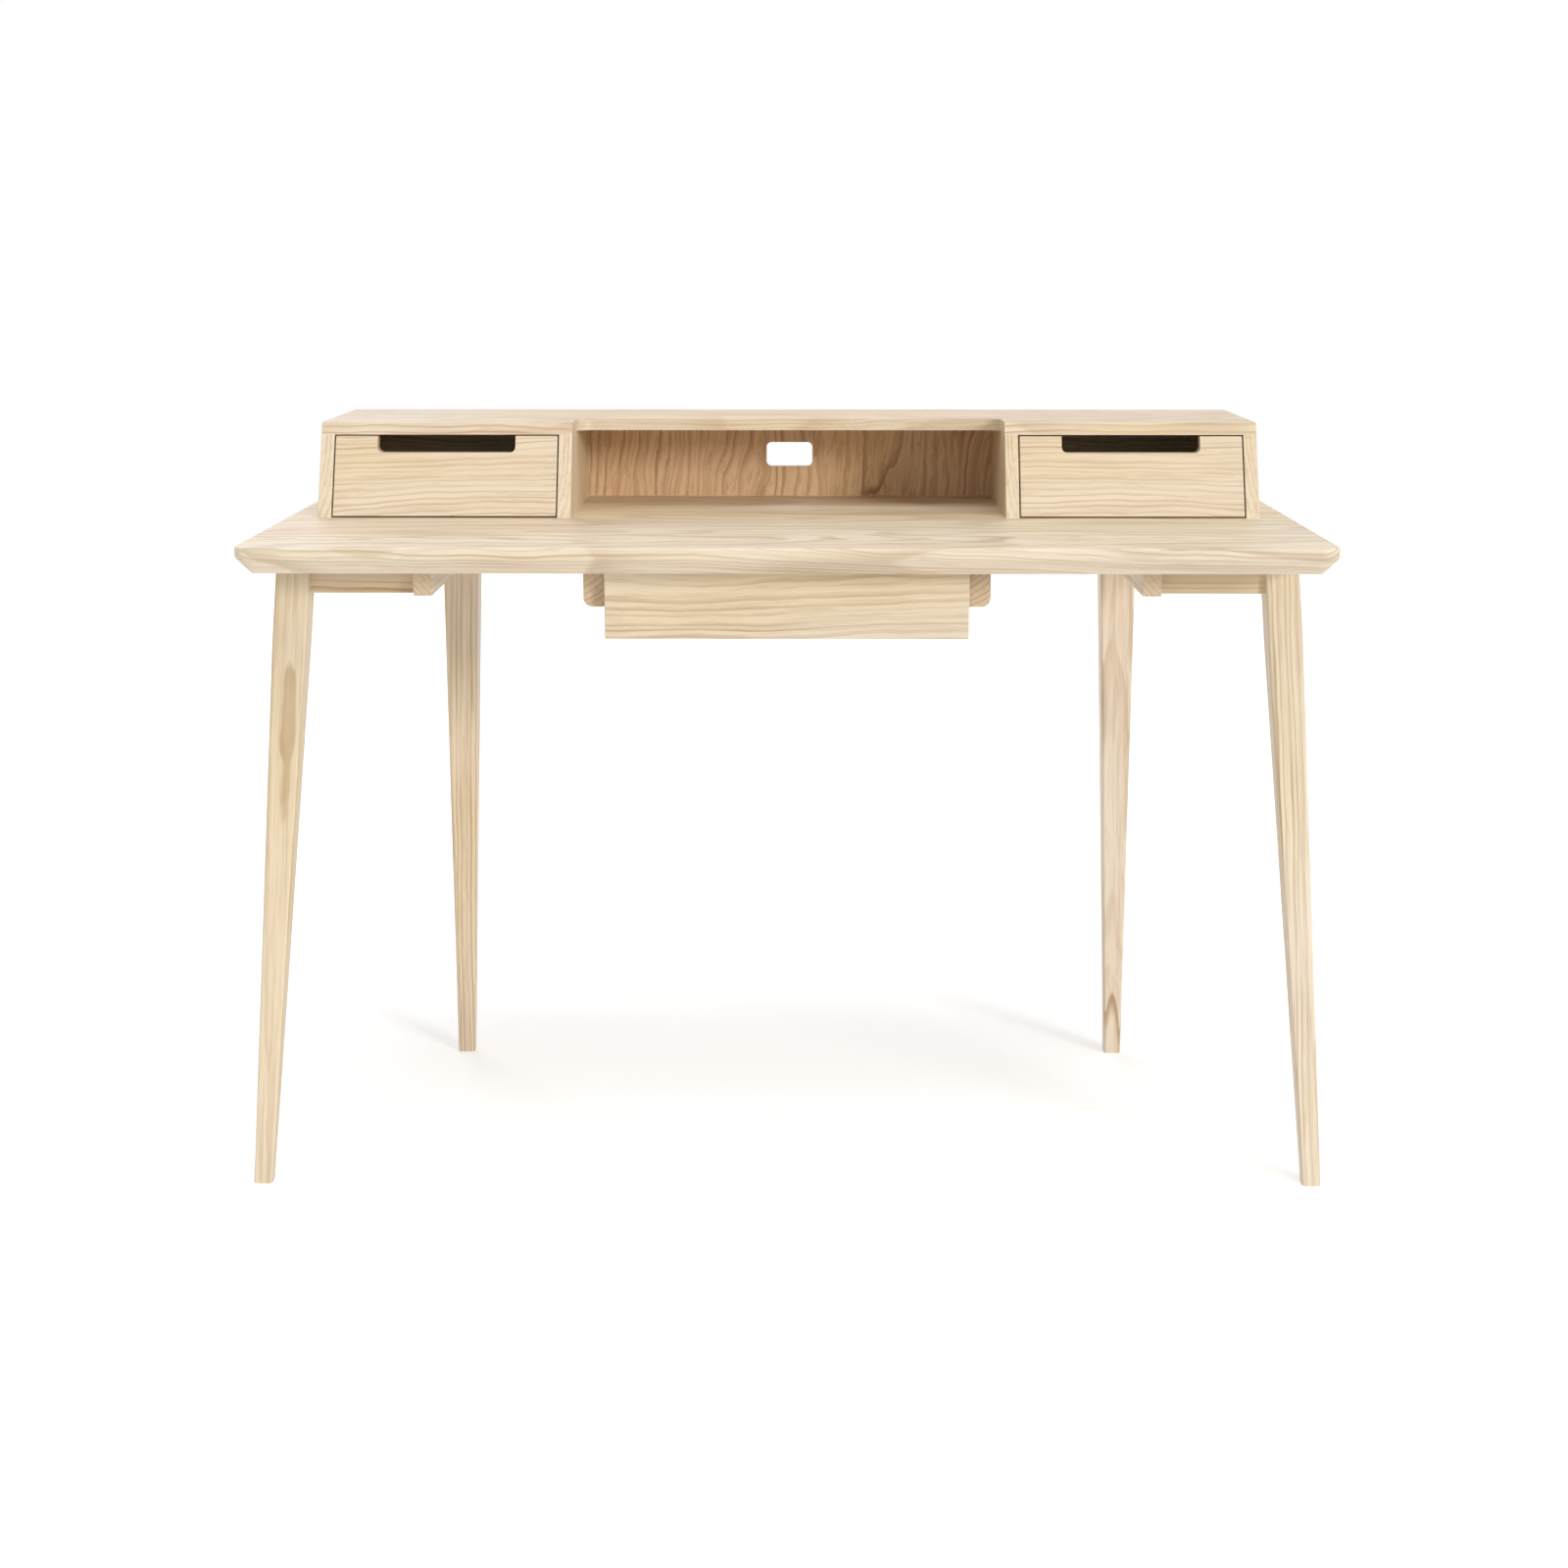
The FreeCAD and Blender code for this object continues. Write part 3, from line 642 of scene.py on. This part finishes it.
def finishUnderframe(values):
    back, rise = values["frontPith"]
    aside, above = values["runnerPith"]
    for side, sign in (("left", -1), ("right", 1)):
        node = "rail_front_" + side
        pith = shifted(middleOf(node), (0.0, back, sign * rise))
        dress(node, woodMaterial("frontRailPine_" + side, "x", pith, **values["rail"]))
        node = "beam_" + side
        pith = shifted(middleOf(node), values["beamPith"])
        dress(node, woodMaterial("beamPine_" + side, "y", pith, **values["rail"]))
        for kind in ("runner", "runner_ledge", "runner_keeper"):
            node = kind + "_" + side
            place = middleOf(node)
            pith = (place.x + aside, 0.0, place.z + above)
            dress(node, woodMaterial(kind + "Pine_" + side, "y", pith, **values["runner"]))
    pith = shifted(middleOf("rail_rear"), values["rearPith"])
    dress("rail_rear", woodMaterial("rearRailPine", "x", pith, **values["rail"]))


cabinetValues = {
    "top": {"ringWidth": 0.0056, "ringContrast": 0.95, "waver": 0.0085, "drift": 1.0,
            "figure": 0.28, "pale": (0.735, 0.615, 0.46)},
    "topPith": (-0.2, 0.05, -0.12),  # from the middle, the front foot and the top
    "topTilt": (0.0, -1.0, 1.0),
    "board": {"ringWidth": 0.0060, "ringContrast": 0.85, "waver": 0.004,
              "pale": (0.75, 0.635, 0.475)},
    "boardPith": (0.06, -0.10),  # outwards and forwards
    # the back panel's orange-tan is partly its own wood and partly painted light: set paler to make up
    # for light the niche lacks, and more orange for the warm bounce light in its shade
    "back": {"ringWidth": 0.0125, "ringContrast": 1.0, "waver": 0.030, "fibre": 0.50,
             "pale": (0.79, 0.55, 0.325), "late": (0.36, 0.18, 0.075)},
    "backPith": (0.10, 0.05),  # right of the desk's middle, and behind the panel
    "backTilt": (0.0, 4.0, 0.0),
}


def finishCabinet(values):
    low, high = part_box("cabinet_top")
    piece = mergedCopy("cabinet_top")
    aside, back, above = values["topPith"]
    material = woodMaterial("cabinetTopPine", "x", (aside, low.y + back, high.z + above),
                            values["topTilt"], **values["top"])
    settle(piece, "cabinet_top", "desk", material)
    place = middleOf("cabinet_back")
    piece = mergedCopy("cabinet_back")
    aside, back = values["backPith"]
    material = woodMaterial("cabinetBackPine", "z", (aside, place.y + back, place.z),
                            values["backTilt"], **values["back"])
    settle(piece, "cabinet_back", "desk", material)
    aside, back = values["boardPith"]
    for side, sign in (("left", -1), ("right", 1)):
        for kind in ("side", "divider"):
            node = "cabinet_%s_%s" % (kind, side)
            pith = shifted(middleOf(node), (sign * aside, back, 0.0))
            piece = mergedCopy(node)
            material = woodMaterial("cabinet_%sPine_%s" % (kind, side), "z", pith, **values["board"])
            settle(piece, node, "desk", material)


drawerValues = {
    "face": {"ringWidth": 0.0072, "ringContrast": 0.95, "waver": 0.0125,
             "pale": (0.735, 0.62, 0.465)},
    "facePith": (-0.05, 0.035, 0.052),
    "faceTilt": 1.8,
    "centreFace": {"ringWidth": 0.0074, "ringContrast": 0.95, "waver": 0.010,
                   "pale": (0.82, 0.70, 0.53)},
    "centrePith": (0.08, 0.03, 0.045),
    "centreTilt": (0.0, -1.6, 0.0),
    "box": {"ringWidth": 0.006},
    "boxPith": (0.05, 0.05, -0.06),
    "bottom": {"ringWidth": 0.012, "ringContrast": 0.3, "waver": 0.03, "pale": (0.72, 0.59, 0.42)},
    "bottomDepth": 0.35,  # a peeled sheet: its tree lay far below
}


def dressBox(values, body, material, kinds):
    # the drawer's plain boards: node endings and the way each one's grain runs
    for kind, grain in kinds:
        node = body + "_" + kind
        pith = shifted(middleOf(node), values["boxPith"])
        dress(node, woodMaterial(material + "_" + kind, grain, pith, **values["box"]))


def finishDrawers(values):
    for side, sign in (("left", -1), ("right", 1)):
        body = "drawer_" + side
        face = middleOf(body + "_front")
        piece = mergedCopy(body + "_front")
        material = woodMaterial("drawerFacePine_" + side, "x", shifted(face, values["facePith"]),
                                (0.0, values["faceTilt"] * sign, 0.0), **values["face"])
        settle(piece, body + "_front", body, material)
        dressBox(values, body, "drawerBoxPine_" + side,
                 (("side_inner", "y"), ("side_outer", "y"), ("back", "x")))
        pith = (face.x, 0.0, face.z - values["bottomDepth"])
        dress(body + "_bottom", woodMaterial("drawerBottomPly_" + side, "x", pith, **values["bottom"]))
    face = middleOf("drawer_centre_front")
    piece = mergedCopy("drawer_centre_front")
    material = woodMaterial("centreFacePine", "x", shifted(face, values["centrePith"]),
                            values["centreTilt"], **values["centreFace"])
    settle(piece, "drawer_centre_front", "drawer_centre", material)
    dressBox(values, "drawer_centre", "centreBoxPine",
             (("side_left", "y"), ("side_right", "y"), ("back", "x"),
              ("cleat_left", "y"), ("cleat_right", "y")))
    pith = (0.0, 0.0, face.z - values["bottomDepth"])
    dress("drawer_centre_bottom", woodMaterial("centreBottomPly", "x", pith, **values["bottom"]))


fixingValues = {
    "beech": {"pale": (0.60, 0.42, 0.26), "late": (0.50, 0.33, 0.19), "ringWidth": 0.004},
    "beechPith": (0.0, 0.0, 0.0),
    "stop": {"ringWidth": 0.006},
    "stopPith": (0.0, 0.0, 0.6),
}


def finishFixings(values):
    steel = steelMaterial(steelFinish)
    for node in ("frame_screws", "runner_screws", "cabinet_screws", "back_screws"):
        dress(node, steel)
    for node in ("leg_dowels", "cabinet_dowels"):
        dress(node, woodMaterial(node + "Beech", "z", values["beechPith"], **values["beech"]))
    for node in ("cabinet_stops", "centre_stop"):
        dress(node, woodMaterial(node + "Pine", "x", values["stopPith"], **values["stop"]))


makeCamera(cameraValues)
makeWorld(lightValues)
for lamp in ("key", "over", "rear"):
    makeFarLamp(lamp + "Light", lightValues[lamp], lightValues["lampDistance"])
makeFloor(lightValues)
print("camera, light and floor are up")
finishTabletop(tabletopValues)
finishLegs(legValues)
print("top and legs are shaped")
finishUnderframe(underframeValues)
finishCabinet(cabinetValues)
finishDrawers(drawerValues)
finishFixings(fixingValues)
print("every board has its wood")

bpy.context.scene.view_settings.view_transform = "Standard"
